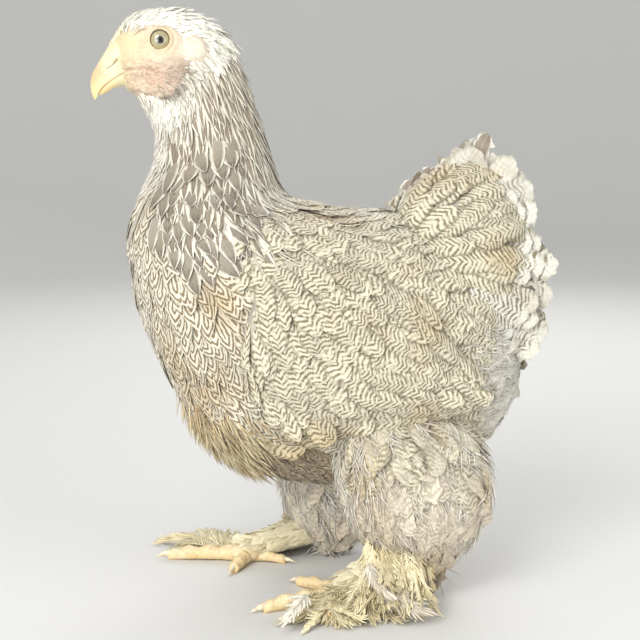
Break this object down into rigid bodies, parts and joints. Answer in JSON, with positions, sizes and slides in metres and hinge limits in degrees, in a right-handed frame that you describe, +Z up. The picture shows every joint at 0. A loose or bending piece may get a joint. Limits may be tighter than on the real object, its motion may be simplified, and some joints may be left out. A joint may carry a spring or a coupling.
{
  "type": "brahma hen, life-size still model",
  "caption": "Life-size still model of a standing Brahma hen: pencilled plumage, lance-shaped hackle, rounded tail and feathered shanks and toes.",
  "frame": {"origin": "centre of the footprint of the whole bird's bounding box, on the floor", "axes": "+Z up; the bird faces -X, its left side is at -Y and the middle plane of its body is near Y = 0"},
  "size_m": [0.3736, 0.2952, 0.4557],
  "materials": {
    "plumage": "matte feathers, cream with fine taupe pencilling",
    "hackle": "satin lance-shaped feathers, taupe centres edged with white",
    "down": "soft grey-white down",
    "skin": "bare face skin, pale pink, fine folds",
    "horn": "pale yellow horn, satin",
    "eye": "wet, glossy, olive-grey iris with a dark pupil",
    "toe": "scaly pale orange-yellow skin",
    "claw": "satin horn"
  },
  "bodies": {
    "root": {"beak_lower": "horn", "beak_upper": "horn", "claw_hind_left": "claw", "claw_hind_right": "claw", "claw_inner_left": "claw", "claw_inner_right": "claw", "claw_middle_left": "claw", "claw_middle_right": "claw", "claw_outer_left": "claw", "claw_outer_right": "claw", "comb": "skin", "eye_left": "eye", "eye_right": "eye", "head": "skin", "neck": "hackle", "shank_left": "plumage", "shank_right": "plumage", "tail": "plumage", "thigh_left": "down", "thigh_right": "down", "toe_hind_left": "toe", "toe_hind_right": "toe", "toe_inner_left": "toe", "toe_inner_right": "toe", "toe_middle_left": "toe", "toe_middle_right": "toe", "toe_outer_left": "toe", "toe_outer_right": "toe", "torso": "plumage", "wing_left": "plumage", "wing_right": "plumage"}
  },
  "joints": []
}
